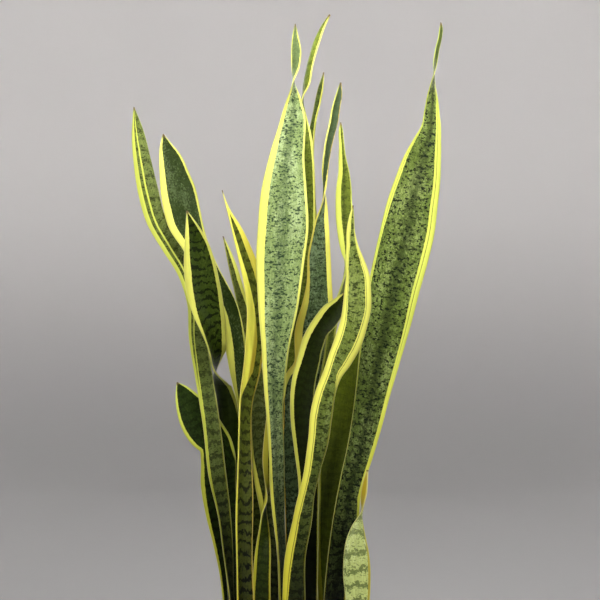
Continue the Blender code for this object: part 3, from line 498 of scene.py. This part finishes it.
def grain(tree, place, scale, detail=2.0, roughness=0.5):
    """Noise at its own scale along each axis, in cycles to the metre."""
    scaled = put(tree, "ShaderNodeVectorMath", {0: place, 1: scale}, operation="MULTIPLY").outputs[0]
    inputs = {"Vector": scaled, "Scale": 1.0, "Detail": detail, "Roughness": roughness}
    return put(tree, "ShaderNodeTexNoise", inputs).outputs[0]


def bump(tree, height, distance, normal=None):
    """The normal of a surface with fine relief."""
    inputs = {"Strength": 1.0, "Distance": distance, "Height": height}
    if normal is not None:
        inputs["Normal"] = normal
    return put(tree, "ShaderNodeBump", inputs).outputs[0]


def group_tree(name, inputs, outputs):
    """An empty shader node group with its sockets, and its two end nodes."""
    tree = bpy.data.node_groups.new(name, "ShaderNodeTree")
    for label, kind, default in inputs:
        socket = tree.interface.new_socket(name=label, in_out="INPUT", socket_type=kind)
        socket.default_value = default
    for label, kind in outputs:
        tree.interface.new_socket(name=label, in_out="OUTPUT", socket_type=kind)
    return tree, tree.nodes.new("NodeGroupInput"), tree.nodes.new("NodeGroupOutput")


def new_material(name):
    """A material with its tree and its Principled shader."""
    material = bpy.data.materials.new(name)
    material.use_nodes = True
    tree = material.node_tree
    return material, tree, tree.nodes["Principled BSDF"]


# The leaves' markings


def leaf_markings():
    """The node group that colours a blade: green body with cross bands and flecks, and its two margins."""
    numbers = [
        "Seed", "Band Pitch", "Wander", "Bands", "Loose", "Flecks", "Fine", "Patches", "Stripe", "Dark Foot And Shade",
        "Reverse", "Line From", "Line To", "Line Start", "Even",
    ]
    colours = ["Ground", "Dark", "Pale", "Margin", "Margin Shade"]
    inputs = [(label, "NodeSocketFloat", 0.0) for label in numbers]
    inputs += [(label, "NodeSocketColor", (0.5, 0.5, 0.5, 1.0)) for label in colours]
    outputs = [("Color", "NodeSocketColor"), ("Roughness", "NodeSocketFloat"), ("Height", "NodeSocketFloat")]
    tree, given, result = group_tree("Leaf markings", inputs, outputs)
    take = given.outputs

    place = put(tree, "ShaderNodeAttribute", attribute_name="place").outputs["Vector"]
    edges = put(tree, "ShaderNodeAttribute", attribute_name="edges").outputs["Vector"]
    margins = put(tree, "ShaderNodeAttribute", attribute_name="margins").outputs["Vector"]
    share = put(tree, "ShaderNodeAttribute", attribute_name="share").outputs["Fac"]
    shift = put(tree, "ShaderNodeCombineXYZ", {0: take["Seed"], 1: take["Seed"], 2: 0.0}).outputs[0]
    moved = put(tree, "ShaderNodeVectorMath", {0: place, 1: shift}, operation="ADD").outputs[0]
    close = put(tree, "ShaderNodeVectorMath", {0: moved, 3: take["Fine"]}, operation="SCALE").outputs[0]
    along = put(tree, "ShaderNodeSeparateXYZ", {0: moved}).outputs[1]
    spot = put(tree, "ShaderNodeSeparateXYZ", {0: place}).outputs
    edge = put(tree, "ShaderNodeSeparateXYZ", {0: edges}).outputs
    margin = put(tree, "ShaderNodeSeparateXYZ", {0: margins}).outputs

    slow = grain(tree, moved, (46.0, 16.0, 46.0), 2.0)
    zigzag = grain(tree, moved, (150.0, 46.0, 150.0), 2.0, 0.6)
    break_up = grain(tree, close, (190.0, 230.0, 190.0), 3.0, 0.6)
    dashes = grain(tree, close, (180.0, 330.0, 180.0), 3.0, 0.6)
    streaks = grain(tree, moved, (640.0, 44.0, 640.0), 2.0)
    specks = grain(tree, close, (500.0, 300.0, 500.0), 2.0, 0.6)
    tone = grain(tree, moved, (44.0, 12.0, 44.0), 3.0, 0.6)
    foot = flip(tree, rise(tree, spot[1], 0.16, 0.62))

    # Cross bands: a wave along the blade that a slow and a quick noise bend, stronger towards the foot
    bent = plus(tree, along, wobble(tree, slow, 0.030))
    quick = wobble(tree, zigzag, take["Wander"])
    bent = plus(tree, bent, quick)
    turns = sums(tree, "DIVIDE", times(tree, bent, 2 * math.pi), take["Band Pitch"])
    wave = sums(tree, "SINE", turns)
    looseness = plus(tree, 1.2, times(tree, take["Loose"], 4.0))
    broken = wobble(tree, break_up, looseness)
    band = rise(tree, plus(tree, times(tree, wave, 0.8), broken), 0.25, 0.60)
    lower = times(tree, foot, flip(tree, take["Even"]))
    strength = plus(tree, take["Even"], lower)
    band = times(tree, times(tree, band, take["Bands"]), strength)

    # Flecks: short dashes across the blade, more of them where a band runs
    density = plus(tree, dashes, times(tree, wave, 0.035))
    density = plus(tree, density, wobble(tree, zigzag, 0.20))
    fleck = times(tree, rise(tree, density, 0.52, 0.60), take["Flecks"])
    dark = sums(tree, "MAXIMUM", band, fleck)

    # Body: ground green with pale patches, the dark marks and a darker middle; its reverse is plainer
    spread = plus(tree, tone, wobble(tree, specks, 0.9))
    patch = rise(tree, spread, 0.46, 0.68)
    body = mix(tree, times(tree, patch, take["Patches"]), take["Ground"], take["Pale"])
    body = mix(tree, dark, body, take["Dark"])
    aside = sums(tree, "ABSOLUTE", sums(tree, "SUBTRACT", edge[0], edge[1]))
    centre = sums(tree, "DIVIDE", aside, times(tree, edge[2], 2.0))
    centre = plus(tree, centre, wobble(tree, break_up, 1.1))
    middle = flip(tree, rise(tree, centre, 0.0, 0.42))
    body = mix(tree, times(tree, middle, take["Stripe"]), body, take["Dark"])
    plain = mix(tree, 0.55, take["Ground"], take["Dark"])
    behind = flip(tree, rise(tree, spot[2], -0.0006, 0.0002))
    body = mix(tree, times(tree, behind, take["Reverse"]), body, plain)
    # Painted shade, in part: the body darkens towards the foot; the base is darker in its own colour, and the
    # rest stands in for the blades shading each other low down.
    deep = flip(tree, times(tree, foot, take["Dark Foot And Shade"]))
    lit = plus(tree, 0.66, times(tree, streaks, 0.68))
    light = times(tree, deep, lit)
    body = put(tree, "ShaderNodeVectorMath", {0: body, 3: light}, operation="SCALE").outputs[0]

    # Margins: inside each one's own width, with a slightly uneven border, a green line and a dull rim
    uneven = wobble(tree, break_up, 0.0014)
    first = sums(tree, "SUBTRACT", edge[0], margin[0])
    second = sums(tree, "SUBTRACT", edge[1], margin[1])
    inside = plus(tree, sums(tree, "MINIMUM", first, second), uneven)
    in_margin = flip(tree, rise(tree, inside, -0.0002, 0.0003))
    # Each margin row's shade value turns the yellow towards the Margin Shade colour: partly the margins' own
    # duller colour, partly painted shade where they lie in shadow.
    shaded = plus(tree, margin[2], wobble(tree, tone, 0.5))
    yellow = mix(tree, rise(tree, shaded, 0.0, 1.0), take["Margin"], take["Margin Shade"])
    # Painted shade, in part: the margins dim and turn olive towards the foot, for the shade low in the plant as
    # well as their own duller base.
    foot_tint_and_shade = mix(tree, foot, (1.0, 1.0, 1.0, 1.0), (0.66, 0.60, 0.22, 1.0))
    yellow = mix(tree, 1.0, yellow, foot_tint_and_shade, "MULTIPLY")
    soft = plus(tree, 0.86, times(tree, streaks, 0.28))
    yellow = put(tree, "ShaderNodeVectorMath", {0: yellow, 3: soft}, operation="SCALE").outputs[0]
    reach = sums(tree, "MAXIMUM", sums(tree, "DIVIDE", edge[0], margin[0]), 0.0)
    other = sums(tree, "MAXIMUM", sums(tree, "DIVIDE", edge[1], margin[1]), 0.0)
    part = sums(tree, "MINIMUM", reach, other)
    rim = flip(tree, rise(tree, part, 0.05, 0.50))
    yellow = mix(tree, times(tree, rim, 0.30), yellow, take["Margin Shade"])
    opens = rise(tree, part, take["Line From"], plus(tree, take["Line From"], 0.06))
    closes = rise(tree, part, sums(tree, "SUBTRACT", take["Line To"], 0.06), take["Line To"])
    grown = rise(tree, share, take["Line Start"], plus(tree, take["Line Start"], 0.12))
    line = times(tree, sums(tree, "SUBTRACT", opens, closes), grown)
    yellow = mix(tree, sums(tree, "MAXIMUM", line, 0.0), yellow, body)
    near = sums(tree, "MINIMUM", edge[0], edge[1])
    lip = flip(tree, rise(tree, near, 0.0001, 0.0006))
    yellow = mix(tree, times(tree, lip, 0.40), yellow, (0.62, 0.58, 0.36, 1.0))
    shown = mix(tree, in_margin, body, yellow)
    dry = rise(tree, share, 0.990, 0.999)
    shown = mix(tree, dry, shown, (0.12, 0.08, 0.035, 1.0))

    rough = plus(tree, 0.42, wobble(tree, break_up, 0.30))
    height = plus(tree, times(tree, streaks, 0.5), times(tree, dark, -0.3))
    height = plus(tree, height, times(tree, zigzag, 0.8))
    tree.links.new(shown, result.inputs["Color"])
    tree.links.new(rough, result.inputs["Roughness"])
    tree.links.new(height, result.inputs["Height"])


def leaf_material(name, finish, number):
    """A blade's own material, with its own values in the markings."""
    material, tree, shader = new_material(name)
    marks = put(tree, "ShaderNodeGroup", node_tree=bpy.data.node_groups["Leaf markings"])
    start, end, grown = finish.line
    numbers = {
        "Seed": SEED_STEP * (number + 1), "Band Pitch": finish.pitch, "Wander": finish.wander,
        "Bands": finish.bands, "Loose": finish.loose, "Flecks": finish.flecks, "Fine": finish.fine,
        "Patches": finish.patches, "Stripe": finish.stripe, "Dark Foot And Shade": finish.foot, "Reverse": finish.reverse,
        "Line From": start, "Line To": end, "Line Start": grown, "Even": finish.even,
    }
    for label, value in numbers.items():
        marks.inputs[label].default_value = value
    greens = {
        "Ground": finish.ground, "Dark": finish.dark, "Pale": finish.pale,
        "Margin": finish.margin, "Margin Shade": finish.shade,
    }
    for label, value in greens.items():
        marks.inputs[label].default_value = colour(*value)
    tree.links.new(marks.outputs["Color"], shader.inputs["Base Color"])
    tree.links.new(marks.outputs["Roughness"], shader.inputs["Roughness"])
    tree.links.new(bump(tree, marks.outputs["Height"], 0.0003), shader.inputs["Normal"])
    shader.inputs["Specular IOR Level"].default_value = 0.08
    shader.inputs["Coat Weight"].default_value = 0.01
    shader.inputs["Coat Roughness"].default_value = 0.3
    return material


# The leaves' shapes


def place_stations(stations):
    """The stations' middle points in space, and their widths, turns and drawn heights."""
    height, side, width, turn, depth = np.array(stations, dtype=float).T
    height, side, width, depth = (values * MM for values in (height, side, width, depth))
    reach = 1 + depth / EYE_DISTANCE
    points = np.stack([
        EYE_SIDE + (side - EYE_SIDE) * reach,
        depth,
        EYE_HEIGHT + (height - EYE_HEIGHT) * reach,
    ], axis=1)
    return points, width * reach, np.radians(turn), height


def smooth_curve(knots, values, at):
    """Read values on a smooth curve that passes through the stations."""
    slopes = np.gradient(values, knots, axis=0)
    low = np.clip(np.searchsorted(knots, at, side="right") - 1, 0, len(knots) - 2)
    step = (knots[low + 1] - knots[low])[:, None]
    t = (at - knots[low])[:, None] / step
    start, end = values[low], values[low + 1]
    return (
        start * (1 + 2 * t) * (1 - t) ** 2 + slopes[low] * step * t * (1 - t) ** 2
        + end * t * t * (3 - 2 * t) - slopes[low + 1] * step * t * t * (1 - t)
    )


def unit(vectors):
    """Vectors scaled to length 1."""
    return vectors / np.linalg.norm(vectors, axis=1)[:, None]


def blade_rows(leaf, step):
    """Each row of a blade: distance, middle, across and face directions, width and its two margins."""
    points, widths, turns, heights = place_stations(leaf.stations)
    lengths = np.linalg.norm(np.diff(points, axis=0), axis=1)
    knots = np.concatenate([[0.0], np.cumsum(lengths)])
    at = np.linspace(0.0, knots[-1], math.ceil(knots[-1] / step) + 1)
    table = smooth_curve(knots, np.column_stack([points, widths, turns]), at)
    middle, width, turn = table[:, :3], np.maximum(table[:, 3], MIN_WIDTH), table[:, 4]
    along = unit(np.gradient(middle, at, axis=0))
    level = np.array([1.0, 0.0, 0.0])
    side = unit(level - along * (along @ level)[:, None])
    back = np.cross(along, side)
    across = side * np.cos(turn)[:, None] + back * np.sin(turn)[:, None]
    face = np.cross(across, along)
    rows = np.array(leaf.margins, dtype=float)
    height = np.interp(at, knots, heights)
    drawn = [np.interp(height, rows[:, 0] * MM, column) for column in rows[:, 1:].T]
    edge_widths = np.stack(drawn, axis=1) * (MM, MM, 1.0, 1.0)
    return at, middle, across, face, width, edge_widths


def blade_thickness(place, u):
    """A blade's thickness at a share of its length, and a place across it from -1 to 1."""
    thick = MIDDLE_THICKNESS
    if place < BASE_STRETCH:
        thick += (BASE_THICKNESS - MIDDLE_THICKNESS) * (1 - place / BASE_STRETCH)
    if place > 1 - TIP_STRETCH:
        thick += (MARGIN_THICKNESS - MIDDLE_THICKNESS) * (place - 1 + TIP_STRETCH) / TIP_STRETCH
    rounded = math.sqrt(max(0.0, 1 - u ** 8))
    return MARGIN_THICKNESS * rounded + (thick - MARGIN_THICKNESS) * (1 - u * u)


def edge_ripple(distance, u, phase):
    """How far a margin waves out of the blade's face, growing from nothing at the base."""
    growth = min(1.0, distance / (2 * RIPPLE_LENGTH))
    wave = math.sin(2 * math.pi * distance / RIPPLE_LENGTH + phase + 2.1 * (u > 0))
    return RIPPLE * growth * u * u * wave


def finish_object(name, bm, materials, body="root", smooth=True):
    """Turn a bmesh into an object at the origin that moves with a body."""
    bmesh.ops.recalc_face_normals(bm, faces=bm.faces[:])
    mesh = bpy.data.meshes.new(name)
    bm.to_mesh(mesh)
    bm.free()
    item = bpy.data.objects.new(name, mesh)
    bpy.context.scene.collection.objects.link(item)
    for material in materials:
        mesh.materials.append(material)
    if smooth:
        mesh.shade_smooth()
    if body:
        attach(item, body)
    return item


def leaf_blade(node, leaf, number, settings):
    """A closed blade: a grid rolled round its lens-shaped section, row by row."""
    at, middle, across, face, width, edge_widths = blade_rows(leaf, settings.row_step)
    phase = PHASE_STEP * number
    rows = len(at)
    bm = bmesh.new()
    place = bm.verts.layers.float_vector.new("place")
    edges = bm.verts.layers.float_vector.new("edges")
    margins = bm.verts.layers.float_vector.new("margins")
    share_layer = bm.verts.layers.float.new("share")
    bmesh.ops.create_grid(bm, x_segments=settings.around, y_segments=rows - 1, size=1.0)
    for vert in bm.verts:
        angle = math.pi * (vert.co.x + 1)
        row = round((vert.co.y + 1) / 2 * (rows - 1))
        share = at[row] / at[-1]
        u = -math.cos(angle)
        half = width[row] / 2
        hollow = leaf.cup * (1 + BASE_CHANNEL * max(0.0, 1 - share / BASE_STRETCH))
        channel = hollow * width[row] * (u * u - 0.4) + edge_ripple(at[row], u, phase)
        slant = Vector((1.0, 4 * hollow * u)).normalized()
        lift = blade_thickness(share, u) / 2 * (1 if math.sin(angle) >= 0 else -1)
        reach = half * u - slant.y * lift
        out = channel + slant.x * lift
        vert[place] = (half * u, at[row], half * math.sin(angle))
        vert[edges] = (half * (1 + u), half * (1 - u), half)
        first, second, first_shade, second_shade = edge_widths[row]
        vert[margins] = (first, second, first_shade if u < 0 else second_shade)
        vert[share_layer] = share
        vert.co = middle[row] + across[row] * reach + face[row] * out
    bmesh.ops.remove_doubles(bm, verts=bm.verts[:], dist=0.000004)
    bmesh.ops.holes_fill(bm, edges=[edge for edge in bm.edges if edge.is_boundary], sides=0)
    name = node.replace("leaf_", "blade_")
    blade = finish_object(name, bm, [leaf_material(name, FINISHES[leaf.finish], number)])
    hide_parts(node)


# Soil


def soil_height(x, y, radius, relief):
    """The height of the potting mix's lumpy top, lower towards its rim."""
    away = min(1.0, math.hypot(x, y) / radius)
    lumps = noise.fractal(Vector((x, y, 0.0)) * 95.0, 1.0, 2.1, 4)
    crumbs = noise.noise(Vector((x, y, 3.0)) * 420.0)
    fall = relief * 0.6 * max(0.0, away - 0.86) / 0.14
    mound = SOIL_LEVEL + SOIL_CROWN * (1 - away * away)
    return mound - relief * 0.4 + relief * 0.55 * lumps + relief * 0.22 * crumbs - fall


def soil_material():
    """Damp peat and bark: dark brown with lighter fibres and crumbs."""
    settings = bpy.context.scene.snake_plant
    material, tree, shader = new_material("potting_mix")
    place = put(tree, "ShaderNodeTexCoord").outputs["Object"]
    crumbs = grain(tree, place, (520.0, 520.0, 520.0), 4.0, 0.7)
    patches = grain(tree, place, (70.0, 70.0, 70.0), 3.0, 0.6)
    base = (*settings.soil_colour, 1.0)
    brown = mix(tree, rise(tree, crumbs, 0.35, 0.70), colour(34, 26, 20), base)
    brown = mix(tree, rise(tree, patches, 0.50, 0.75), brown, colour(96, 74, 54))
    tree.links.new(brown, shader.inputs["Base Color"])
    shader.inputs["Roughness"].default_value = 0.92
    tree.links.new(bump(tree, crumbs, 0.0016), shader.inputs["Normal"])
    return material


def bit_material(name, light, dark):
    """Bark or perlite: one colour that varies from bit to bit, with a grainy face."""
    material, tree, shader = new_material(name)
    place = put(tree, "ShaderNodeTexCoord").outputs["Object"]
    spread = grain(tree, place, (160.0, 160.0, 160.0), 2.0)
    fine = grain(tree, place, (1500.0, 1500.0, 1500.0), 2.0)
    shown = mix(tree, rise(tree, spread, 0.35, 0.65), colour(*dark), colour(*light))
    tree.links.new(shown, shader.inputs["Base Color"])
    shader.inputs["Roughness"].default_value = 0.88
    tree.links.new(bump(tree, fine, 0.0004), shader.inputs["Normal"])
    return material


def potting_mix(settings):
    """The potting mix: a lumpy round top with its side and bottom inside the pot."""
    low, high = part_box("soil")
    radius = (high.x - low.x) / 2
    relief = settings.soil_relief
    bm = bmesh.new()
    bmesh.ops.create_grid(bm, x_segments=settings.soil_cells, y_segments=settings.soil_cells, size=1.0)
    for vert in bm.verts:
        x, y = vert.co.x, vert.co.y
        x, y = x * math.sqrt(1 - y * y / 2) * radius, y * math.sqrt(1 - x * x / 2) * radius
        vert.co = (x, y, soil_height(x, y, radius, relief))
    rim = [edge for edge in bm.edges if edge.is_boundary]
    made = bmesh.ops.extrude_edge_only(bm, edges=rim)["geom"]
    lower = [part for part in made if isinstance(part, bmesh.types.BMVert)]
    for vert in lower:
        vert.co = Vector((vert.co.x * SOIL_FOOT / radius, vert.co.y * SOIL_FOOT / radius, low.z))
    bmesh.ops.holes_fill(bm, edges=[edge for edge in bm.edges if edge.is_boundary], sides=0)
    soil = finish_object("potting_mix", bm, [soil_material()])
    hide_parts("soil")


def clear_of_leaves(x, y, gap):
    """True where a place on the soil is clear of every blade."""
    for leaf in LEAVES.values():
        drawn = blade_rows(leaf, COARSE_STEP)
        middle, across, width = drawn[1], drawn[2], drawn[4]
        row = int(np.argmin(np.abs(middle[:, 2] - SOIL_TOP)))
        reach = np.array([x, y]) - middle[row, :2]
        slide = float(np.clip(reach @ across[row, :2], -width[row] / 2, width[row] / 2))
        if np.linalg.norm(reach - across[row, :2] * slide) < gap:
            return False
    return True


def loose_bits(name, count, size, squash, material, seed, settings):
    """Small lumps scattered on the soil, each one half sunk in it."""
    low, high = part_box("soil")
    radius = (high.x - low.x) / 2
    draw = random.Random(seed)
    bm = bmesh.new()
    placed = 0
    while placed < count:
        spread, angle = math.sqrt(draw.random()) * (radius - RIM_CLEARANCE), draw.random() * 2 * math.pi
        x, y = spread * math.cos(angle), spread * math.sin(angle)
        if not clear_of_leaves(x, y, LEAF_CLEARANCE):
            continue
        made = bmesh.ops.create_icosphere(bm, subdivisions=1, radius=1.0)["verts"]
        half = size * (0.5 + draw.random())
        shape = Matrix.Diagonal((half, half * (0.5 + 0.5 * draw.random()), half * squash, 1.0))
        turn = Euler((draw.random() * 0.7, draw.random() * 0.7, draw.random() * 6.3)).to_matrix().to_4x4()
        for vert in made:
            vert.co *= 0.82 + 0.36 * draw.random()
        height = soil_height(x, y, radius, settings.soil_relief)
        spot = Matrix.Translation((x, y, height + half * squash * 0.3))
        bmesh.ops.transform(bm, matrix=spot @ turn @ shape, verts=made)
        placed += 1
    bits = finish_object(name, bm, [material], smooth=False)


# Pot


def clay_material():
    """Fired clay: warm brown-red with fine grains, faint turning rings and a chalky bloom."""
    settings = bpy.context.scene.snake_plant
    material, tree, shader = new_material("fired_clay")
    place = put(tree, "ShaderNodeTexCoord").outputs["Object"]
    grains = grain(tree, place, (900.0, 900.0, 900.0), 3.0, 0.6)
    cloud = grain(tree, place, (14.0, 14.0, 20.0), 4.0, 0.6)
    rings = grain(tree, place, (6.0, 6.0, 520.0), 2.0)
    bloom = grain(tree, place, (30.0, 30.0, 42.0), 5.0, 0.7)
    base = (*settings.clay_colour, 1.0)
    warm = mix(tree, rise(tree, cloud, 0.35, 0.68), base, colour(160, 84, 54))
    sand = times(tree, rise(tree, grains, 0.50, 0.72), 0.35)
    warm = mix(tree, sand, warm, colour(208, 140, 104))
    chalk = times(tree, rise(tree, bloom, 0.56, 0.78), 0.45)
    warm = mix(tree, chalk, warm, colour(222, 196, 176))
    tree.links.new(warm, shader.inputs["Base Color"])
    shader.inputs["Roughness"].default_value = 0.86
    height = plus(tree, times(tree, rings, 0.7), times(tree, grains, 0.4))
    tree.links.new(bump(tree, height, 0.0005), shader.inputs["Normal"])
    return material


# Studio


def aim(item, place, target):
    """Put a light or a camera at a place, looking at a target."""
    item.location = place
    item.rotation_euler = (Vector(target) - Vector(place)).to_track_quat("-Z", "Y").to_euler()


def area_light(name, place, target, size, power, tint):
    """A soft square light that the camera doesn't see."""
    lamp = bpy.data.lights.new(name, "AREA")
    lamp.size = size
    lamp.energy = power
    lamp.color = tint
    item = bpy.data.objects.new(name, lamp)
    bpy.context.scene.collection.objects.link(item)
    aim(item, place, target)
    item.visible_camera = False
    return item


def studio_cove():
    """A round floor that curves up into a pale wall, with an open top; the floor is darker grey as painted
    shade.
    """
    reach, fillet, top, steps = 6.2, 1.6, 6.5, 96
    bm = bmesh.new()
    angles = np.radians(range(0, 91, 9))
    curve = [(reach - fillet + fillet * math.sin(a), fillet - fillet * math.cos(a)) for a in angles]
    profile = [(0.0, 0.0)] + curve + [(reach, top)]
    verts = [bm.verts.new((r, 0.0, z)) for r, z in profile]
    lines = [bm.edges.new(pair) for pair in zip(verts, verts[1:])]
    bmesh.ops.spin(
        bm, geom=verts + lines, cent=(0, 0, 0), axis=(0, 0, 1), angle=2 * math.pi, steps=steps, use_merge=True
    )
    bmesh.ops.remove_doubles(bm, verts=bm.verts[:], dist=0.00001)
    material, tree, shader = new_material("studio_paper")
    place = put(tree, "ShaderNodeTexCoord").outputs["Object"]
    height = put(tree, "ShaderNodeSeparateXYZ", {0: place}).outputs[2]
    # Painted shade: the floor is a darker grey that lightens up the curve into the pale wall, so the backdrop
    # darkens towards the bottom of the view.
    shade = mix(tree, rise(tree, height, 0.0, fillet), colour(146, 145, 145), colour(222, 220, 219))
    tree.links.new(shade, shader.inputs["Base Color"])
    shader.inputs["Roughness"].default_value = 0.95
    cove = finish_object("studio_cove", bm, [material], body=None)


def camera():
    """The camera at the photo's viewing angle, level and in front of the plant."""
    lens = bpy.data.cameras.new("camera")
    lens.sensor_width = 36.0
    lens.lens = lens.sensor_width * EYE_DISTANCE / VIEW_WIDTH
    lens.clip_start, lens.clip_end = 0.05, 60.0
    item = bpy.data.objects.new("camera", lens)
    bpy.context.scene.collection.objects.link(item)
    item.location = (EYE_SIDE, -EYE_DISTANCE, EYE_HEIGHT)
    item.rotation_euler = (math.radians(90), 0.0, 0.0)
    bpy.context.scene.camera = item


# Operators and panel


class PLANT_OT_leaf(bpy.types.Operator):
    """Build one leaf blade over its solid."""

    bl_idname = "snake_plant.leaf"
    bl_label = "Leaf"
    node: StringProperty(name="Node", description="The leaf's name in the frame", default="leaf_tall_centre")

    def execute(self, context):
        if not bpy.data.node_groups.get("Leaf markings"):
            leaf_markings()
        leaf_blade(self.node, LEAVES[self.node], list(LEAVES).index(self.node), context.scene.snake_plant)
        return {"FINISHED"}


class PLANT_OT_soil(bpy.types.Operator):
    """Build the potting mix and the loose bits on it."""

    bl_idname = "snake_plant.soil"
    bl_label = "Soil"

    def execute(self, context):
        settings = context.scene.snake_plant
        potting_mix(settings)
        bark = bit_material("bark", (120, 84, 54), (62, 42, 28))
        perlite = bit_material("perlite", (226, 222, 212), (186, 180, 166))
        loose_bits("bark_bits", settings.bits, 0.0034, 0.45, bark, 5, settings)
        loose_bits("perlite_bits", settings.bits // 3, 0.0017, 0.8, perlite, 9, settings)
        return {"FINISHED"}


class PLANT_OT_pot(bpy.types.Operator):
    """Give the pot its fired clay."""

    bl_idname = "snake_plant.pot"
    bl_label = "Pot"

    def execute(self, context):
        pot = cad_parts["pot"]
        pot.data.materials.clear()
        pot.data.materials.append(clay_material())
        return {"FINISHED"}


class PLANT_OT_studio(bpy.types.Operator):
    """Set up the floor and wall, darker on the floor as painted shade, the soft lights and the camera."""

    bl_idname = "snake_plant.studio"
    bl_label = "Studio"

    def execute(self, context):
        settings = context.scene.snake_plant
        studio_cove()
        warm, cool, white = (1.0, 0.99, 0.97), (0.96, 0.98, 1.0), (1.0, 1.0, 1.0)
        fill = settings.fill_power
        key = area_light("key_light", (-0.15, -1.25, 2.4), (0.0, 0.0, 1.3), 0.6, settings.key_power, warm)
        key.data.spread = math.radians(44)
        area_light("fill_light", (1.6, -2.6, 1.7), (0.0, 0.0, 1.0), 1.6, fill, cool)
        area_light("back_light", (1.2, 2.6, 2.4), (0.0, 0.0, 0.9), 1.6, fill, white)
        for number in range(4):
            angle = math.radians(45 + 90 * number)
            away = Vector((math.cos(angle), math.sin(angle), 0.0))
            place, target = away * 3.8 + Vector((0, 0, 4.2)), away * 6.2 + Vector((0, 0, 3.0))
            lamp = area_light(f"wall_light_{number}", place, target, 2.0, settings.wall_power, white)
            lamp.data.spread = math.radians(70)
        context.scene.view_settings.view_transform = "Standard"
        world = bpy.data.worlds.new("studio_air")
        world.use_nodes = True
        world.node_tree.nodes["Background"].inputs["Color"].default_value = (1.0, 1.0, 1.0, 1.0)
        world.node_tree.nodes["Background"].inputs["Strength"].default_value = 0.07
        context.scene.world = world
        camera()
        return {"FINISHED"}


class PLANT_PT_panel(bpy.types.Panel):
    """Sidebar panel with the plant's sizes and its pieces."""

    bl_idname = "PLANT_PT_panel"
    bl_label = "Potted snake plant"
    bl_space_type = "VIEW_3D"
    bl_region_type = "UI"
    bl_category = "Plant"

    def draw(self, context):
        settings = context.scene.snake_plant
        for name in PlantSettings.__annotations__:
            self.layout.prop(settings, name)
        for kind in (PLANT_OT_leaf, PLANT_OT_soil, PLANT_OT_pot, PLANT_OT_studio):
            self.layout.operator(kind.bl_idname)


CLASSES = (PlantSettings, PLANT_OT_leaf, PLANT_OT_soil, PLANT_OT_pot, PLANT_OT_studio, PLANT_PT_panel)


def register():
    for kind in CLASSES:
        bpy.utils.register_class(kind)
    bpy.types.Scene.snake_plant = PointerProperty(type=PlantSettings)


def unregister():
    del bpy.types.Scene.snake_plant
    for kind in reversed(CLASSES):
        bpy.utils.unregister_class(kind)


def main():
    """Build every piece and the studio."""
    register()
    for node in LEAVES:
        bpy.ops.snake_plant.leaf(node=node)
    bpy.ops.snake_plant.soil()
    bpy.ops.snake_plant.pot()
    bpy.ops.snake_plant.studio()


if __name__ == "__main__":
    main()
